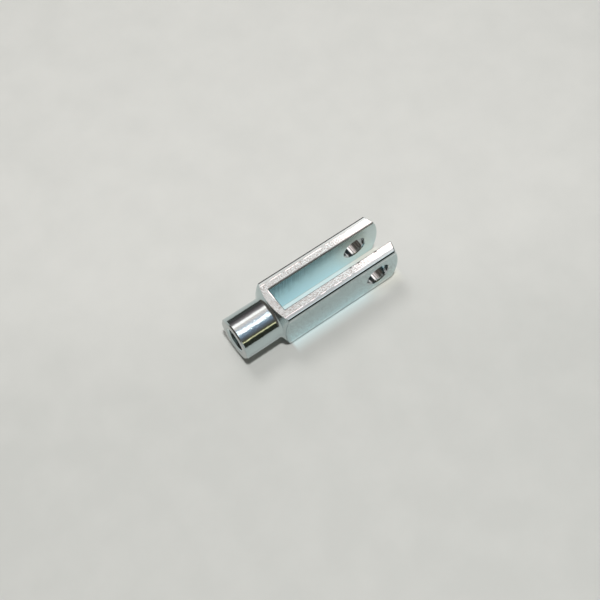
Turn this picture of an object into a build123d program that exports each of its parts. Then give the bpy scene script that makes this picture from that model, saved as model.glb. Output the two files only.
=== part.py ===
from build123d import *
import os
from math import hypot, radians, sqrt, tan

# Clevis rod end: the fork head of a linkage rod, machined in one piece from square bar.
#
# Two ears carry a cross pin. The slot between them takes the eye of the mating link, and
# the turned shank is threaded inside for the rod. All lengths are in millimetres.
#
# Frame: the origin is the middle of the pin bore, +X runs out through the fork tips, Y
# lies along the pin and +Z points out of the slot. The fork lies on one of the two flats
# of the bar that the slot opens through.

# Drawn square bar
bar_side = 16.0  # across the flats
bar_corner_radius = 0.6

# Fork
pin_diameter = 8.0
pin_clearance = 0.04  # on the diameter, so that the pin turns freely
pin_bore_chamfer = 0.3
link_eye_width = 8.0
link_eye_clearance = 0.2  # both sides together, so that the mating eye swings freely
slot_depth = 32.6  # from the pin's centre back to the slot's flat base
slot_edge_break = 0.25
tip_reach = 9.3  # from the pin's centre out to the crown of the tips
tip_crown_radius = 20.0  # spherical, turned about the rod's axis
tip_edge_break = 0.15

# Turned shank and shoulder
pin_to_shank_end = 48.6
shank_diameter = 14.0
shank_end_chamfer = 0.8
shank_to_corners = 14.8  # from the shank's end to the corners of the bar
shoulder_slope = 25.0  # degrees that the conical shoulder leans from a flat one
neck_fillet = 1.2  # between the shank and the shoulder

# Thread for the rod, M8 x 1.25, tapped through to the slot
thread_diameter = 8.0
thread_pitch = 1.25
thread_mouth_oversize = 0.6  # countersink over the thread, on the diameter
thread_mouth_angle = 120.0

# Radii and places that follow from the sizes above
pin_bore_radius = (pin_diameter + pin_clearance) / 2
slot_width = link_eye_width + link_eye_clearance
tap_drill_radius = (thread_diameter - thread_pitch) / 2
thread_mouth_radius = (thread_diameter + thread_mouth_oversize) / 2
shank_radius = shank_diameter / 2
shank_end_x = -pin_to_shank_end
slot_base_x = -slot_depth

# The turned outline is drawn as radius over X. It runs out past the corners of the bar,
# so that only the shoulder and the crown cut into the flats.
corner_radius = hypot(bar_side, bar_side) / 2
outline_radius = corner_radius + 1
corner_x = shank_end_x + shank_to_corners
run_per_radius = tan(radians(shoulder_slope))
shoulder_foot_x = corner_x - (corner_radius - shank_radius) * run_per_radius
shoulder_top_x = corner_x + (outline_radius - corner_radius) * run_per_radius
crown_centre_x = tip_reach - tip_crown_radius
crown_rim_x = crown_centre_x + sqrt(tip_crown_radius**2 - outline_radius**2)

with BuildPart() as clevis:
    # A length of drawn bar along X
    with BuildSketch(Plane.YZ.offset(shank_end_x)):
        RectangleRounded(bar_side, bar_side, bar_corner_radius)
    extrude(amount=tip_reach - shank_end_x)

    # Shank, neck, conical shoulder and crown, turned in one setting about the rod's axis
    with BuildSketch(Plane.XZ) as turned_outline:
        with BuildLine():
            Polyline(
                (tip_reach, 0),
                (shank_end_x, 0),
                (shank_end_x, shank_radius),
                (shoulder_foot_x, shank_radius),
                (shoulder_top_x, outline_radius),
                (crown_rim_x, outline_radius),
            )
            RadiusArc((crown_rim_x, outline_radius), (tip_reach, 0), tip_crown_radius)
        make_face()
        shank_line = turned_outline.edges().filter_by(Axis.X).sort_by(Axis.X)[0]
        end_corner, neck = shank_line.vertices().sort_by(Axis.X)
        chamfer(end_corner, shank_end_chamfer)
        fillet(neck, neck_fillet)
    revolve(axis=Axis.X, mode=Mode.INTERSECT)

    # Slot, milled from the tips back to a flat base
    with BuildSketch(Plane.XY):
        with Locations((slot_base_x, 0)):
            Rectangle(tip_reach - slot_base_x, slot_width, align=(Align.MIN, Align.CENTER))
    extrude(amount=bar_side / 2, both=True, mode=Mode.SUBTRACT)

    # The slot's lips and the rim of the crown are deburred
    slot_faces = clevis.faces().filter_by(Axis.Y).sort_by(lambda f: abs(f.center().Y))[:2]
    slot_faces += clevis.faces().filter_by(Axis.X).sort_by(Axis.X)[-1:]
    lips = slot_faces.edges().filter_by(GeomType.LINE)
    chamfer(lips - lips.filter_by(Axis.Z), slot_edge_break)
    chamfer(clevis.faces().filter_by(GeomType.SPHERE).edges(), tip_edge_break)

    # Pin bore, reamed through both ears and countersunk lightly at all four faces
    with Locations(Plane.XZ):
        Hole(pin_bore_radius)
    bore_rims = clevis.edges(Select.LAST).filter_by(GeomType.CIRCLE)
    chamfer(bore_rims, pin_bore_chamfer)

    # Threaded bore, drilled at its core diameter from the shank's end into the slot
    with Locations(Plane((shank_end_x, 0, 0), x_dir=(0, 1, 0), z_dir=(-1, 0, 0))):
        CounterSinkHole(
            tap_drill_radius,
            thread_mouth_radius,
            depth=slot_base_x - shank_end_x,
            counter_sink_angle=thread_mouth_angle,
        )

clevis.part.label = "clevis"

os.makedirs("parts", exist_ok=True)
export_step(clevis.part, "parts/clevis.step")
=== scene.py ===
from math import cos, pi, radians, sin, tan

import bpy
import numpy as np
from mathutils import Matrix, Vector


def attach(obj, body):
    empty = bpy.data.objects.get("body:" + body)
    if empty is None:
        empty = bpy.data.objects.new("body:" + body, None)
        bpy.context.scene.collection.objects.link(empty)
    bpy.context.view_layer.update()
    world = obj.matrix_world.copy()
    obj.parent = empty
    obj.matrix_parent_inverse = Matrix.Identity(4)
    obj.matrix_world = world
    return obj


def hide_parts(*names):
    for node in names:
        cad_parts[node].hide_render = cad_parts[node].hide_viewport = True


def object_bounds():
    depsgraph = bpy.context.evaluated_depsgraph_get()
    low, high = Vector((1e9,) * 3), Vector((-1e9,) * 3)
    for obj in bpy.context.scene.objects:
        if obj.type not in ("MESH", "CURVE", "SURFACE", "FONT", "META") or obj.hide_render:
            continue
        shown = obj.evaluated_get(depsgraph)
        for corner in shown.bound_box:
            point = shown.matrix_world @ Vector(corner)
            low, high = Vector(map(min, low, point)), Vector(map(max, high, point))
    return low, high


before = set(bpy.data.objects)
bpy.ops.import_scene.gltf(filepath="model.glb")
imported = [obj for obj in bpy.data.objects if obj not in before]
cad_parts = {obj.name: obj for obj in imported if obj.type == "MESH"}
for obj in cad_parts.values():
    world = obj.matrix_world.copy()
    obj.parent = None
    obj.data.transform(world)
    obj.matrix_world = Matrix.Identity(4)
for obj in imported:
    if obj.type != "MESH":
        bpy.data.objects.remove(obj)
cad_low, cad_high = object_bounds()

MM = 0.001

# The fork head, in metres and radians
SHANK_END_X = cad_low.x
FLOOR_Z = cad_low.z
BAR_HALF = cad_high.z
SLOT_BASE_X = -32.6 * MM
SLOT_HALF = 4.1 * MM
SHANK_RADIUS = 7 * MM
BORE_RIM_RADIUS = 4.32 * MM  # pin bore with its countersink
TAP_DRILL_RADIUS = 3.375 * MM
THREAD_MAJOR_RADIUS = 4 * MM
THREAD_PITCH = 1.25 * MM
THREAD_MOUTH_RADIUS = 4.3 * MM
THREAD_MOUTH_SLOPE = radians(60)  # between the mouth's cone and the bore's axis
SHOULDER_SLOPE = radians(25)  # that the cone behind the bar leans from a flat shoulder
SHOULDER_APEX_X = -39.08 * MM  # where that cone would meet the rod's axis
END_CHAMFER = 0.4 * MM  # drawn half as wide as in the solid, as the photograph shows it
BAR_CORNER_RADIUS = 0.6 * MM
LIP_NICKS = (-8.4 * MM, -5.3 * MM, 1.1 * MM)  # along X, in the near ear's inner lip
TOLERANCE = 0.01 * MM  # for telling which surface a face or point of the CAD mesh is on

# Spacing of each finish's marks as they are drawn, and how deep they are
PIT_SPACING = 0.33 * MM
PIT_DEPTH = 0.03 * MM
SIDE_PIT_DEPTH = 0.008 * MM  # on the two flats beside the slot's walls
MARGIN_WIDTH = 1.5 * MM  # of the smooth strip beside each corner of the bar
MARGIN_SLOPE = radians(4)
REAR_LIP_WIDTH = 0.6 * MM  # of the rounding over the slot's base
REAR_LIP_SLOPE = radians(6)
CHAMFER_ROUGHNESS = 0.3  # of the slot's edges, over that of the flat
CUTTER_SPACING = 0.24 * MM
CUTTER_DEPTH = 0.02 * MM
TURNING_SPACING = 0.5 * MM
TURNING_DEPTH = 0.012 * MM
REAMER_SPACING = 0.4 * MM
REAMER_DEPTH = 0.01 * MM
SCORE_SPACING = 0.5 * MM
CLOUD_SPACING = 12 * MM  # on the table


def colour(hex_code):
    """An sRGB hex code as linear red, green, blue and alpha."""
    values = np.array([int(hex_code[i : i + 2], 16) for i in (1, 3, 5)]) / 255
    linear = np.where(values <= 0.04045, values / 12.92, ((values + 0.055) / 1.055) ** 2.4)
    return (*linear.tolist(), 1.0)


def add(tree, kind, inputs=None, **settings):
    """Adds a node, sets its properties, and fills or links its inputs by name or number. A
    node given as an input is linked by the first output that it has in use."""
    node = tree.nodes.new("ShaderNode" + kind)
    for name, value in settings.items():
        setattr(node, name, value)
    for name, value in (inputs or {}).items():
        if isinstance(value, bpy.types.Node):
            value = next(output for output in value.outputs if output.enabled)
        if isinstance(value, bpy.types.NodeSocket):
            tree.links.new(value, node.inputs[name])
        else:
            node.inputs[name].default_value = value
    return node


def empty_material(name):
    """A node material with nothing in it yet."""
    material = bpy.data.materials.new(name)
    material.use_nodes = True
    material.node_tree.nodes.clear()
    return material, material.node_tree


def place(tree):
    """Object coordinates, whole and as X, Y and Z."""
    whole = add(tree, "TexCoord").outputs["Object"]
    axes = add(tree, "SeparateXYZ", {0: whole})
    return whole, axes.outputs["X"], axes.outputs["Y"], axes.outputs["Z"]


def finish_metal(tree, base, roughness, height, **sockets):
    """Joins a metal's colour, roughness and relief, which is a height in metres, to its output."""
    bump = add(tree, "Bump", {"Height": height, "Strength": 1.0, "Distance": 1.0})
    inputs = {"Metallic": 1.0, "Base Color": base, "Roughness": roughness, "Normal": bump, **sockets}
    shader = add(tree, "BsdfPrincipled", inputs)
    add(tree, "OutputMaterial", {"Surface": shader})


def from_rod_axis(tree, y, z):
    """Distance from the rod's axis."""
    section = add(tree, "CombineXYZ", {"Y": y, "Z": z})
    return add(tree, "VectorMath", {0: section}, operation="LENGTH").outputs["Value"]


def rear_lip(tree, x, y):
    """How far a point is over the rounded lip at the slot's base. The rounding fades towards
    the near ear."""
    past_start = add(tree, "Math", {0: x, 1: SLOT_BASE_X - REAR_LIP_WIDTH}, operation="SUBTRACT")
    over_lip = add(tree, "Math", {0: past_start, 1: 0.0}, operation="MAXIMUM")
    far_half = add(tree, "MapRange", {"Value": y, "From Max": 1.5 * MM})
    before_far_ear = add(tree, "Math", {0: y, 1: SLOT_HALF}, operation="LESS_THAN")
    base_lip = add(tree, "Math", {0: far_half, 1: before_far_ear}, operation="MULTIPLY")
    return add(tree, "Math", {0: base_lip, 1: over_lip}, operation="MULTIPLY")


def nicks(tree, x, y):
    """Share of bare steel in the nicks of the near ear's inner lip."""
    from_nick = 1.0
    for nick_x in LIP_NICKS:
        off = add(tree, "Math", {0: x, 1: nick_x}, operation="SUBTRACT")
        distance = add(tree, "Math", {0: off}, operation="ABSOLUTE")
        from_nick = add(tree, "Math", {0: distance, 1: from_nick}, operation="MINIMUM")
    nick = add(tree, "MapRange", {"Value": from_nick, "From Min": 0.6 * MM, "From Max": 0.3 * MM,
                                  "To Max": 0.9})
    near_lip = add(tree, "Math", {0: y, 1: -SLOT_HALF, 2: 0.55 * MM}, operation="COMPARE")
    return add(tree, "Math", {0: nick, 1: near_lip}, operation="MULTIPLY")


def painted_far_lip_shade(tree, y, beside_slot):
    """Share of painted shade, as a dark line along the far ear's inner lip."""
    painted_shade_lines = add(tree, "MapRange", {"Value": y, "From Min": SLOT_HALF + 0.66 * MM,
                                  "From Max": SLOT_HALF + 0.46 * MM})
    past_lip = add(tree, "MapRange", {"Value": y, "From Min": SLOT_HALF,
                                      "From Max": SLOT_HALF + 0.3 * MM, "To Max": 0.9})
    far_lip = add(tree, "Math", {0: painted_shade_lines, 1: past_lip}, operation="MULTIPLY")
    return add(tree, "Math", {0: far_lip, 1: beside_slot}, operation="MULTIPLY")


def dark_side_edges(tree, x, y, z, on_side):
    """Share of painted shade on a side of the bar, as dark lines along its foot and along the
    shoulder's cone.
    """
    low = add(tree, "MapRange", {"Value": z, "From Min": -BAR_HALF + 1.4 * MM,
                                 "From Max": -BAR_HALF + BAR_CORNER_RADIUS, "To Max": 0.42})
    foot = add(tree, "Math", {0: low, 1: on_side}, operation="MULTIPLY")
    radius = from_rod_axis(tree, y, z)
    from_cone = add(tree, "Math", {0: radius, 1: -tan(SHOULDER_SLOPE), 2: x}, operation="MULTIPLY_ADD")
    by_cone = add(tree, "MapRange", {"Value": from_cone, "From Min": SHOULDER_APEX_X + 0.35 * MM,
                                     "From Max": SHOULDER_APEX_X + 0.15 * MM, "To Max": 0.6})
    cone_edge = add(tree, "Math", {0: by_cone, 1: on_side}, operation="MULTIPLY")
    return add(tree, "Math", {0: cone_edge, 1: foot}, operation="MAXIMUM")


def drawn_zinc():
    """Bright zinc on the cold drawn flats of the bar: finely pitted in the middle and
    burnished smooth beside the corners, with a broken bright line between the two that is a
    painted highlight. The pitted middle is painted paler towards the tips as a highlight. The
    corners, one lip of the slot, the foot of each side and the edge along the shoulder's cone
    carry dark lines of painted shade; the nicks in the other lip are bare steel, and the slot's
    rear lip has a painted glint. The real pits are about 0.1 mm apart and are drawn at 0.33 mm,
    so that they show."""
    material, tree = empty_material("zinc_plated_drawn_steel")
    whole, x, y, z = place(tree)
    beside_y = add(tree, "Math", {0: y}, operation="ABSOLUTE")
    beside_z = add(tree, "Math", {0: z}, operation="ABSOLUTE")
    across = add(tree, "Math", {0: beside_y, 1: beside_z}, operation="MINIMUM")
    past = add(tree, "Math", {0: across, 1: BAR_HALF - MARGIN_WIDTH}, operation="SUBTRACT")
    inside = add(tree, "MapRange", {"Value": past, "From Min": 0.3 * MM, "From Max": -0.1 * MM})
    on_side = add(tree, "Math", {0: beside_y, 1: BAR_HALF - 0.7 * MM}, operation="GREATER_THAN")
    beside_slot = add(tree, "Math", {0: x, 1: SLOT_BASE_X}, operation="GREATER_THAN")
    pits = add(tree, "TexNoise", {"Vector": whole, "Scale": 1 / PIT_SPACING, "Detail": 1.0})

    # Relief: the pits, the slope beside the corners, and the slot's rear lip
    pitting = add(tree, "Math", {0: pits, 1: inside}, operation="MULTIPLY")
    depth = add(tree, "MapRange", {"Value": on_side, "To Min": PIT_DEPTH, "To Max": SIDE_PIT_DEPTH})
    outside = add(tree, "Math", {0: past, 1: 0.0}, operation="MAXIMUM")
    rolled = add(tree, "Math", {0: outside, 1: -tan(MARGIN_SLOPE)}, operation="MULTIPLY")
    drawn = add(tree, "Math", {0: pitting, 1: depth, 2: rolled}, operation="MULTIPLY_ADD")
    rounding = rear_lip(tree, x, y)
    height = add(tree, "Math", {0: rounding, 1: -tan(REAR_LIP_SLOPE), 2: drawn},
                 operation="MULTIPLY_ADD")

    # Colour of the pitted middle, painted paler towards the tips as a highlight, and of the smooth
    # margin
    grains = add(tree, "MapRange", {"Value": pits, "From Min": 0.34, "From Max": 0.62})
    at_tips = add(tree, "MapRange", {"Value": x, "From Min": -9 * MM, "From Max": 0.0})
    low_grain = add(tree, "Mix", {0: at_tips, 6: colour("#A2A2A1"), 7: colour("#DCDFDE")},
                    data_type="RGBA")
    high_grain = add(tree, "Mix", {0: at_tips, 6: colour("#CEDFE3"), 7: colour("#FFFFFF")},
                     data_type="RGBA")
    top_grained = add(tree, "Mix", {0: grains, 6: low_grain, 7: high_grain}, data_type="RGBA")
    side_grained = add(tree, "Mix", {0: grains, 6: colour("#ABB4B6"), 7: colour("#CAE0E2")},
                       data_type="RGBA")
    grained = add(tree, "Mix", {0: on_side, 6: top_grained, 7: side_grained}, data_type="RGBA")
    flat = add(tree, "Mix", {0: inside, 6: colour("#B4C0C1"), 7: grained}, data_type="RGBA")

    # Painted highlights: a bright line beside each corner, broken every few millimetres, and a glint
    # over the rounded rear lip
    breaks = add(tree, "TexNoise", {"Vector": whole, "Scale": 1 / (2.5 * MM), "Detail": 3.0})
    shown = add(tree, "MapRange", {"Value": breaks, "From Min": 0.42, "From Max": 0.5})
    off_line = add(tree, "Math", {0: past}, operation="ABSOLUTE")
    on_line = add(tree, "MapRange", {"Value": off_line, "From Min": 0.24 * MM,
                                     "From Max": 0.06 * MM})
    line = add(tree, "Math", {0: on_line, 1: shown}, operation="MULTIPLY")
    painted_lip_glint = add(tree, "MapRange", {"Value": rounding, "From Min": 0.05 * MM,
                                      "From Max": 0.2 * MM})
    bright = add(tree, "Math", {0: line, 1: painted_lip_glint}, operation="MAXIMUM")
    lined = add(tree, "Mix", {0: bright, 6: flat, 7: colour("#FFFFFF")}, data_type="RGBA")

    # Painted shade as dark lines along the corners, the far lip, the foot and the shoulder's edge, and
    # bare steel in the nicks
    painted_corner_shade = add(tree, "MapRange", {"Value": across, "From Min": BAR_HALF - 0.46 * MM,
                                  "From Max": BAR_HALF - 0.34 * MM})
    painted_lip_shade = painted_far_lip_shade(tree, y, beside_slot)
    painted_shade_lines = add(tree, "Math", {0: painted_corner_shade, 1: painted_lip_shade}, operation="MAXIMUM")
    nicked = nicks(tree, x, y)
    painted_shade_or_nicks = add(tree, "Math", {0: painted_shade_lines, 1: nicked}, operation="MAXIMUM")
    side_edges = dark_side_edges(tree, x, y, z, on_side)
    dark = add(tree, "Math", {0: painted_shade_or_nicks, 1: side_edges}, operation="MAXIMUM")
    base = add(tree, "Mix", {0: dark, 6: lined, 7: colour("#4A5051")}, data_type="RGBA")

    # The margin is smoother than the pits, and the slot's chamfers are rougher than both
    pit_roughness = add(tree, "MapRange", {"Value": grains, "To Min": 0.26, "To Max": 0.15})
    smooth = add(tree, "MapRange", {"Value": inside, "To Min": 0.17, "To Max": pit_roughness})
    on_chamfer = add(tree, "MapRange", {"Value": beside_y, "From Min": SLOT_HALF + 0.32 * MM,
                                        "From Max": SLOT_HALF + 0.26 * MM})
    slot_lip = add(tree, "Math", {0: on_chamfer, 1: beside_slot}, operation="MULTIPLY")
    roughness = add(tree, "Math", {0: slot_lip, 1: CHAMFER_ROUGHNESS, 2: smooth},
                    operation="MULTIPLY_ADD")
    finish_metal(tree, base, roughness=roughness, height=height)
    return material


def milled_zinc():
    """Zinc with a blue passivate in the slot, over the upright marks of the milling cutter. High on
    the walls the marks are drawn dark, partly the cutter's marks and partly painted shade, and
    near the table the walls are painted paler and bluer as bounced light. The real marks are
    about 0.05 mm apart and are drawn at 0.24 mm, so that they show."""
    material, tree = empty_material("zinc_plated_milled_steel")
    whole, x, _, z = place(tree)
    marks = add(tree, "TexNoise", {"W": x, "Scale": 1 / CUTTER_SPACING, "Detail": 3.0},
                noise_dimensions="1D")
    patches = add(tree, "TexNoise", {"Vector": whole, "Scale": 1 / (2 * MM), "Detail": 3.0})
    slanted = add(tree, "Math", {0: x, 1: -0.12, 2: z}, operation="MULTIPLY_ADD")
    uneven = add(tree, "Math", {0: patches, 1: 14 * MM, 2: slanted}, operation="MULTIPLY_ADD")
    # High on the wall the cutter's marks are darkened with painted shade
    upper = add(tree, "MapRange", {"Value": uneven, "From Min": 9.0 * MM, "From Max": 15.5 * MM})
    cut = add(tree, "MapRange", {"Value": marks, "From Min": 0.58, "From Max": 0.42})
    marks_in_painted_shade = add(tree, "Math", {0: upper, 1: cut}, operation="MULTIPLY")
    at_tips = add(tree, "MapRange", {"Value": x, "From Min": -26 * MM, "From Max": -2 * MM})
    blue = add(tree, "Mix", {0: at_tips, 6: colour("#B4CFD5"), 7: colour("#CCDBDB")},
               data_type="RGBA")
    # Near the table the wall is painted paler and bluer: painted bounced light
    painted_bounce = add(tree, "MapRange", {"Value": z, "From Max": -7 * MM, "To Max": 0.5})
    blue_and_painted_bounce = add(tree, "Mix", {0: painted_bounce, 6: blue, 7: colour("#D4F0F9")}, data_type="RGBA")
    dull_marks_and_painted_shade = add(tree, "Mix", {0: at_tips, 6: colour("#8AA3A7"), 7: colour("#B2C1C0")},
               data_type="RGBA")
    base = add(tree, "Mix", {0: marks_in_painted_shade, 6: blue_and_painted_bounce, 7: dull_marks_and_painted_shade}, data_type="RGBA")
    height = add(tree, "Math", {0: marks, 1: CUTTER_DEPTH}, operation="MULTIPLY")
    finish_metal(tree, base, roughness=0.26, height=height)
    return material


def turned_zinc():
    """Zinc over fine turned grooves, which run round the rod's axis and smear reflections
    along it, and a slight waviness, which mottles the brightest reflection on the shank. The
    real feed of about 0.1 mm is drawn as 0.5 mm, so that it shows."""
    material, tree = empty_material("zinc_plated_turned_steel")
    whole, x, y, z = place(tree)
    outline = add(tree, "Math", {0: x, 1: from_rod_axis(tree, y, z)}, operation="ADD")
    grooves = add(tree, "TexNoise", {"W": outline, "Scale": 1 / TURNING_SPACING, "Detail": 2.0},
                  noise_dimensions="1D")
    waves = add(tree, "TexNoise", {"Vector": whole, "Scale": 1 / MM, "Detail": 2.0})
    beside_reflection = add(tree, "Math", {0: y, 1: 1.8 * MM}, operation="ADD")
    off_reflection = add(tree, "Math", {0: beside_reflection}, operation="ABSOLUTE")
    depth = add(tree, "MapRange", {"Value": off_reflection, "From Min": 2.1 * MM,
                                   "From Max": 0.9 * MM, "To Min": 0.02 * MM,
                                   "To Max": 0.085 * MM})
    off_end = add(tree, "Math", {0: x, 1: SHANK_END_X + 0.05 * MM}, operation="GREATER_THAN")
    shank_depth = add(tree, "Math", {0: depth, 1: off_end}, operation="MULTIPLY")
    wavy = add(tree, "Math", {0: waves, 1: shank_depth}, operation="MULTIPLY")
    height = add(tree, "Math", {0: grooves, 1: TURNING_DEPTH, 2: wavy}, operation="MULTIPLY_ADD")
    plain = add(tree, "Mix", {0: waves, 6: colour("#BECBCD"), 7: colour("#C8D5D6")},
                data_type="RGBA")
    # The shank's end face is painted darker: painted shade
    base = add(tree, "Mix", {0: off_end, 6: colour("#AAB0AF"), 7: plain}, data_type="RGBA")
    tangent = add(tree, "Tangent", direction_type="RADIAL", axis="X")
    around = {"Anisotropic": 0.75, "Anisotropic Rotation": 0.25, "Tangent": tangent}
    finish_metal(tree, base, roughness=0.14, height=height, **around)
    return material


def reamed_zinc():
    """Zinc in the pin bores, over the reamer's marks, which run round the pin's axis, and a few
    scores along it from drawing the reamer out. The real marks are a few hundredths of a
    millimetre apart and are drawn at 0.4 mm, so that they show."""
    material, tree = empty_material("zinc_plated_reamed_steel")
    whole, x, y, z = place(tree)
    grooves = add(tree, "TexNoise", {"W": y, "Scale": 1 / REAMER_SPACING}, noise_dimensions="1D")
    waves = add(tree, "TexNoise", {"Vector": whole, "Scale": 1 / (0.8 * MM), "Detail": 1.0})
    wavy = add(tree, "Math", {0: waves, 1: 0.02 * MM}, operation="MULTIPLY")
    height = add(tree, "Math", {0: grooves, 1: REAMER_DEPTH, 2: wavy}, operation="MULTIPLY_ADD")
    around_pin = add(tree, "CombineXYZ", {"X": x, "Z": z})
    scores = add(tree, "TexNoise", {"Vector": around_pin, "Scale": 1 / SCORE_SPACING, "Detail": 2.0})
    scored = add(tree, "MapRange", {"Value": scores, "From Min": 0.35, "From Max": 0.65})
    base = add(tree, "Mix", {0: scored, 6: colour("#A2A9AB"), 7: colour("#D2DADB")},
               data_type="RGBA")
    tangent = add(tree, "Tangent", direction_type="RADIAL", axis="Y")
    around = {"Anisotropic": 0.7, "Anisotropic Rotation": 0.25, "Tangent": tangent}
    finish_metal(tree, base, roughness=0.12, height=height, **around)
    return material


def table_top():
    """Smooth pale laminate with a faint cloudiness, and painted shade that makes it a little darker
    in front. The light that the slot's walls and the near flat throw down beside them takes more
    bounces than the render follows, so there the table is drawn paler, and bluer up to the pin
    bores, as painted light."""
    material, tree = empty_material("table_laminate")
    whole, x, y, _ = place(tree)
    clouds = add(tree, "TexNoise", {"Vector": whole, "Scale": 1 / CLOUD_SPACING, "Detail": 6.0})
    # Painted shade, darker towards the front
    slanted = add(tree, "Math", {0: x, 1: 0.5, 2: y}, operation="MULTIPLY_ADD")
    front = add(tree, "MapRange", {"Value": slanted, "From Min": 10 * MM, "From Max": -36 * MM})
    clouds_and_painted_shade = add(tree, "Math", {0: front, 1: -0.9, 2: clouds}, operation="MULTIPLY_ADD")
    shade = add(tree, "MapRange", {"Value": clouds_and_painted_shade, "From Min": -0.5, "From Max": 1.0})
    plain = add(tree, "Mix", {0: shade, 6: colour("#CACBC7"), 7: colour("#DBDBD7")},
                data_type="RGBA")
    past_base = add(tree, "MapRange", {"Value": x, "From Min": SLOT_BASE_X - MM,
                                       "From Max": SLOT_BASE_X})
    inside_tips = add(tree, "MapRange", {"Value": x, "From Min": cad_high.x + MM,
                                         "From Max": cad_high.x - MM})
    beside_fork = add(tree, "Math", {0: past_base, 1: inside_tips}, operation="MULTIPLY")
    off_axis = add(tree, "Math", {0: y}, operation="ABSOLUTE")
    in_slot = add(tree, "Math", {0: off_axis, 1: SLOT_HALF}, operation="LESS_THAN")
    in_front = add(tree, "MapRange", {"Value": y, "From Min": -BAR_HALF - 4.6 * MM,
                                      "From Max": -BAR_HALF})
    near_flat = add(tree, "Math", {0: y, 1: 0.0}, operation="LESS_THAN")
    strip = add(tree, "Math", {0: in_front, 1: near_flat}, operation="MULTIPLY")
    beside_flat = add(tree, "Math", {0: strip, 1: 1.5}, operation="POWER")
    either = add(tree, "Math", {0: beside_flat, 1: in_slot}, operation="MAXIMUM")
    thrown = add(tree, "Math", {0: either, 1: beside_fork}, operation="MULTIPLY")
    past_pin = add(tree, "MapRange", {"Value": x, "From Min": -6 * MM, "From Max": 2 * MM})
    tint = add(tree, "Mix", {0: past_pin, 6: colour("#ECFFFF"), 7: colour("#F0F0E6")},
               data_type="RGBA")
    base = add(tree, "Mix", {0: thrown, 6: plain, 7: tint}, data_type="RGBA")
    shader = add(tree, "BsdfPrincipled", {"Base Color": base, "Roughness": 0.55})
    add(tree, "OutputMaterial", {"Surface": shader})
    return material


def welded_copy(node):
    """A CAD node's corners, triangles and corner normals, with loose triangles welded.

    Corners that round to the same tenth of a micron become one point. The corner normals,
    which are those of the true surfaces, are kept.
    """
    mesh = node.data
    points = np.empty(len(mesh.vertices) * 3)
    mesh.vertices.foreach_get("co", points)
    corners = np.empty(len(mesh.loops), int)
    mesh.loops.foreach_get("vertex_index", corners)
    normals = np.empty(len(mesh.loops) * 3)
    mesh.corner_normals.foreach_get("vector", normals)
    points = points.reshape(-1, 3)
    rounded = np.round(points / (0.1e-3 * MM)).astype(int)
    first, welded = np.unique(rounded, axis=0, return_index=True, return_inverse=True)[1:]
    return points[first], welded.reshape(-1)[corners].reshape(-1, 3), normals.reshape(-1, 3, 3)


def mesh_object(name, points, faces, normals=None):
    """A smooth shaded object of the given faces, with its place in its mesh."""
    mesh = bpy.data.meshes.new(name)
    mesh.from_pydata(points.tolist(), [], faces.tolist())
    mesh.polygons.foreach_set("use_smooth", np.ones(len(faces), bool))
    if normals is not None:
        mesh.normals_split_custom_set(normals.reshape(-1, 3).tolist())
    mesh.update()
    piece = bpy.data.objects.new(name, mesh)
    bpy.context.scene.collection.objects.link(piece)
    return piece


def narrow_end_chamfer(points):
    """Moves the two edges of the chamfer at the shank's end together, one along the shank and
    the other out over the end face, so that it stays a 45 degree chamfer."""
    x, radius = points[:, 0], np.hypot(points[:, 1], points[:, 2])
    on_end = (x < SHANK_END_X + TOLERANCE) & (radius > THREAD_MOUTH_RADIUS + 0.1 * MM)
    near_end = (x > SHANK_END_X + TOLERANCE) & (x < SHANK_END_X + MM)
    on_shank = near_end & (radius > SHANK_RADIUS - TOLERANCE)
    points[on_end, 1:] *= ((SHANK_RADIUS - END_CHAMFER) / radius[on_end])[:, None]
    points[on_shank, 0] = SHANK_END_X + END_CHAMFER


def fork_head():
    """The fork head with each face in the finish that it was made with. The wall and mouth of
    the bore in the shank are left out, because the threaded piece stands there."""
    points, faces, normals = welded_copy(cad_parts["clevis"])
    narrow_end_chamfer(points)
    corners = points[faces]
    centre = corners.mean(1)
    facing = np.cross(corners[:, 1] - corners[:, 0], corners[:, 2] - corners[:, 0])
    facing /= np.linalg.norm(facing, axis=1, keepdims=True) + 1e-30
    x, y, z = centre.T
    along_x, along_y, along_z = np.abs(facing).T
    rod_radius, pin_radius = np.hypot(y, z), np.hypot(x, z)
    in_shank = x < SLOT_BASE_X - TOLERANCE
    threaded = in_shank & (rod_radius < THREAD_MOUTH_RADIUS - 2 * TOLERANCE) & (along_x < 0.95)

    in_slot = (np.abs(y) < SLOT_HALF + TOLERANCE) & (x > SLOT_BASE_X - TOLERANCE) & (along_z < 0.5)
    at_ends = (along_x > 0.2) & ((x > 3 * MM) | in_shank)
    on_shank = in_shank & (rod_radius < SHANK_RADIUS + 5 * TOLERANCE) & (along_z < 0.9999)
    in_bore = (pin_radius < BORE_RIM_RADIUS + 5 * TOLERANCE) & (along_y < 0.9)
    drawn, milled, turned, reamed = range(4)
    finish = np.select([in_bore, in_slot, at_ends | on_shank], [reamed, milled, turned], drawn)

    kept = ~threaded
    piece = mesh_object("fork_head", points, faces[kept], normals[kept])
    for material in (drawn_zinc(), milled_zinc(), turned_zinc(), reamed_zinc()):
        piece.data.materials.append(material)
    piece.data.polygons.foreach_set("material_index", finish[kept].astype(np.int32))
    return piece


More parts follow.
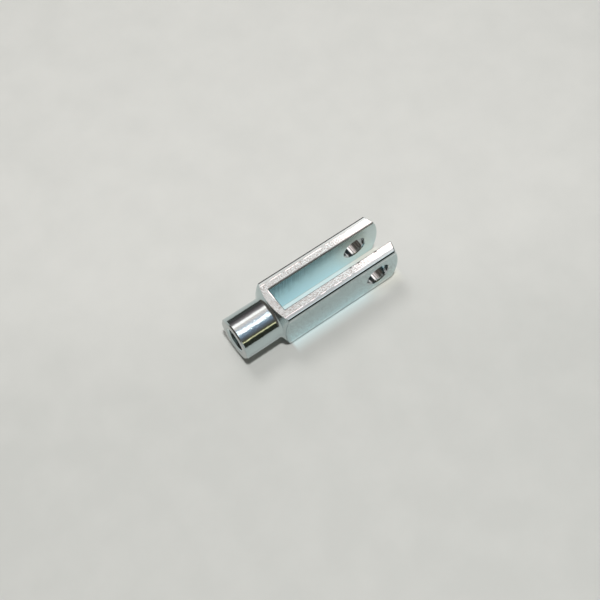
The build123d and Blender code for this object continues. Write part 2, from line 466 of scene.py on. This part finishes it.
def rod_thread(rings=260, around=96):
    """Inside of the threaded bore, as radius over angle and distance along the axis.

    The radius follows a 60 degree triangle wave of one pitch per turn, flattened at crest and
    root, and is never less than the radius of the mouth's cone. Over the last half pitch
    before the slot it fades to the drilled radius.
    """
    turns = np.linspace(0, 2 * pi, around, endpoint=False)
    turn, along = np.meshgrid(turns, np.linspace(0, 1, rings))
    x = SHANK_END_X + along * (SLOT_BASE_X - SHANK_END_X)
    phase = (x / THREAD_PITCH - turn / (2 * pi)) % 1
    steepness, crest = 1.35, 0.17  # the wave's flanks, and how much of its crest is cut off
    wave = np.clip(np.abs(2 * phase - 1) * steepness - crest, 0, 1)
    fade = np.clip((SLOT_BASE_X - x) / (0.5 * THREAD_PITCH), 0, 1)
    radius = TAP_DRILL_RADIUS + (THREAD_MAJOR_RADIUS - TAP_DRILL_RADIUS) * wave * fade
    cone = THREAD_MOUTH_RADIUS - (x - SHANK_END_X) * tan(THREAD_MOUTH_SLOPE)
    radius = np.maximum(radius, cone)
    points = np.stack([x, radius * np.cos(turn), radius * np.sin(turn)], -1).reshape(-1, 3)
    return mesh_object("rod_thread", points, grid_faces(rings, around))


def grid_faces(rings, around):
    """Four-sided faces between the rings of a closed grid, facing its axis."""
    index = np.arange(rings * around).reshape(rings, around)
    beside = np.roll(index, -1, axis=1)
    return np.stack([index[:-1], index[1:], beside[1:], beside[:-1]], -1).reshape(-1, 4)


def table(half=1.5):
    """A level square under the fork head."""
    outline = half * np.array([(-1, -1), (1, -1), (1, 1), (-1, 1)])
    corners = np.column_stack([outline, np.full(4, FLOOR_Z)])
    piece = mesh_object("table", corners, np.array([[0, 1, 2, 3]]))
    piece.data.materials.append(table_top())


# What the metal reflects, by the angle about the X axis: 0 is overhead, 90 the horizon
# behind the fork and -90 the one in front of it
STUDIO_BANDS = [
    (-90, "#1E201A"), (-66, "#22231D"), (-64, "#5A563C"), (-62, "#FFF4C8"), (-60.6, "#C4B88C"),
    (-58.5, "#4A4836"), (-52, "#403C37"), (-44, "#4E5054"), (-36, "#5E6672"), (-28, "#7C8692"),
    (-21, "#98A4B0"), (-17, "#FFFFFF"), (-5, "#FFFFFF"), (0, "#B8BAC2"), (8, "#A4A2A8"),
    (18, "#B0A4A2"), (26, "#C8B6B0"), (32, "#FDF0EC"), (36, "#FDF0EC"), (41, "#8A7F7F"),
    (47, "#6E6666"), (54, "#524A4A"), (62, "#3A3636"), (78, "#343432"), (90, "#32322F"),
]
# The soft panel that the bar's top flat reflects, by distance along X over the dome's radius
STUDIO_PANEL = [
    (0.0, "#C4B9B4"), (0.19, "#C4B9B4"), (0.26, "#B2A8A3"), (0.305, "#B9AEA9"),
    (0.35, "#FFF2EE"), (1.0, "#FFF6F2"),
]
STUDIO_LEVEL = 2.2


def studio_dome(radius=1.2, rings=48, around=96):
    """The soft boxes and dark walls that only the metal sees, drawn on a half sphere round
    it: a circle of points at each angle of rise, smaller by the rise's cosine."""
    turns = np.linspace(0, 2 * pi, around, endpoint=False)
    turn, rise = np.meshgrid(turns, np.linspace(0, pi / 2, rings))
    level = radius * np.cos(rise)
    points = np.stack([level * np.cos(turn), level * np.sin(turn), radius * np.sin(rise)], -1)
    points[..., 2] += FLOOR_Z
    material, tree = empty_material("studio_reflections")
    _, x, y, z = place(tree)
    angle = add(tree, "Math", {0: y, 1: z}, operation="ARCTAN2")
    side = add(tree, "Math", {0: x, 1: radius}, operation="DIVIDE")
    turned = add(tree, "MapRange", {"Value": angle, "From Min": -pi / 2, "From Max": pi / 2})
    bands = add(tree, "ValToRGB", {0: turned})
    panel = add(tree, "ValToRGB", {0: side})
    by_angle = [(degrees / 180 + 0.5, hex_code) for degrees, hex_code in STUDIO_BANDS]
    for ramp, stops in ((bands, by_angle), (panel, STUDIO_PANEL)):
        elements = ramp.color_ramp.elements
        for number, (position, hex_code) in enumerate(stops):
            element = elements[number] if number < 2 else elements.new(position)
            element.position = position
            element.color = colour(hex_code)

    # The panel brightens in two steps towards +X, and has the room's bands round it
    half = add(tree, "MapRange", {"Value": side, "From Min": 0.15, "From Max": 0.18, "To Max": 0.6})
    whole_panel = add(tree, "MapRange", {"Value": side, "From Min": 0.29, "From Max": 0.345})
    opening = add(tree, "Math", {0: half, 1: whole_panel}, operation="MAXIMUM")
    closing = add(tree, "MapRange", {"Value": side, "From Min": 0.6, "From Max": 0.5})
    bottom = add(tree, "MapRange", {"Value": angle, "From Min": radians(10), "From Max": radians(18)})
    top = add(tree, "MapRange", {"Value": angle, "From Min": radians(45), "From Max": radians(40)})
    wide = add(tree, "Math", {0: opening, 1: closing}, operation="MULTIPLY")
    high = add(tree, "Math", {0: bottom, 1: top}, operation="MULTIPLY")
    on_panel = add(tree, "Math", {0: wide, 1: high}, operation="MULTIPLY")

    # Behind the shank the bands fade to a dim wall, and past the panel to a darker one
    far_end = add(tree, "MapRange", {"Value": side, "From Min": 0.08, "From Max": -0.32})
    room = add(tree, "Mix", {0: far_end, 6: bands, 7: colour("#46403C")}, data_type="RGBA")
    beyond = add(tree, "Mix", {0: closing, 6: colour("#23292A"), 7: room}, data_type="RGBA")
    lit = add(tree, "Mix", {0: on_panel, 6: beyond, 7: panel}, data_type="RGBA")
    glow = add(tree, "Emission", {"Color": lit, "Strength": STUDIO_LEVEL})
    add(tree, "OutputMaterial", {"Surface": glow})
    dome = mesh_object("studio_dome", points.reshape(-1, 3), grid_faces(rings, around))
    dome.data.materials.append(material)
    dome.visible_camera = dome.visible_diffuse = dome.visible_shadow = False
    dome.visible_transmission = dome.visible_volume_scatter = False


def soft_lamp(name, tilt, lean, diameter, watts, tint="#FFFFFF"):
    """A round soft box a metre away, tilted from overhead towards -Y and leaning towards -X."""
    data = bpy.data.lights.new(name, "AREA")
    data.shape = "DISK"
    data.size = diameter
    data.energy = watts
    data.color = colour(tint)[:3]
    lamp = bpy.data.objects.new(name, data)
    turned = Matrix.Rotation(tilt, 4, "X") @ Matrix.Rotation(-lean, 4, "Y")
    lamp.matrix_world = turned @ Matrix.Translation((0, 0, 1))
    lamp.visible_camera = lamp.visible_glossy = False
    bpy.context.scene.collection.objects.link(lamp)


def studio_world(light_level=0.2):
    """Even light from all round, and a pale background to the camera."""
    world = bpy.data.worlds.new("studio")
    bpy.context.scene.world = world
    world.use_nodes = True
    tree = world.node_tree
    tree.nodes.clear()
    ray = add(tree, "LightPath").outputs
    seen = add(tree, "Math", {0: ray["Is Camera Ray"], 1: ray["Is Glossy Ray"]}, operation="MAXIMUM")
    level = add(tree, "MapRange", {"Value": seen, "To Min": light_level, "To Max": 1.0})
    sky = add(tree, "Background", {"Color": colour("#E6E4DC"), "Strength": level})
    add(tree, "OutputWorld", {"Surface": sky})


def photo_camera():
    """The photograph's own view, worked out from the edges of the fork in it."""
    aim = Vector((-19.6 * MM, 0, 0))
    azimuth, elevation, roll = radians(-33.569), radians(61.972), radians(-2.636)
    distance, shift_right, shift_up = 282.086 * MM, 3.761 * MM, 3.221 * MM
    focal_pixels, image_pixels = 914.95, 600
    back = Vector((sin(azimuth) * cos(elevation), -cos(azimuth) * cos(elevation), sin(elevation)))
    level_right = Vector((0, 0, 1)).cross(back).normalized()
    level_up = back.cross(level_right)
    right = cos(roll) * level_right + sin(roll) * level_up
    up = cos(roll) * level_up - sin(roll) * level_right
    data = bpy.data.cameras.new("camera")
    data.sensor_width = 36
    data.lens = focal_pixels * data.sensor_width / image_pixels
    data.clip_start = 0.01
    camera = bpy.data.objects.new("camera", data)
    where = aim + back * distance - right * shift_right - up * shift_up
    camera.matrix_world = Matrix.Translation(where) @ Matrix((right, up, back)).transposed().to_4x4()
    bpy.context.scene.collection.objects.link(camera)
    bpy.context.scene.camera = camera


fork = fork_head()
thread = rod_thread()
turned_finish = fork.data.materials["zinc_plated_turned_steel"]
thread.data.materials.append(turned_finish)
for piece in (fork, thread):
    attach(piece, "root")
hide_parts("clevis")

table()
studio_dome()
soft_lamp("key_lamp", tilt=radians(8.5), lean=radians(3), diameter=0.09, watts=6.5)
soft_lamp("back_lamp", tilt=radians(-29), lean=0.0, diameter=0.36, watts=2.5)
studio_world()
photo_camera()
bpy.context.scene.view_settings.view_transform = "Standard"
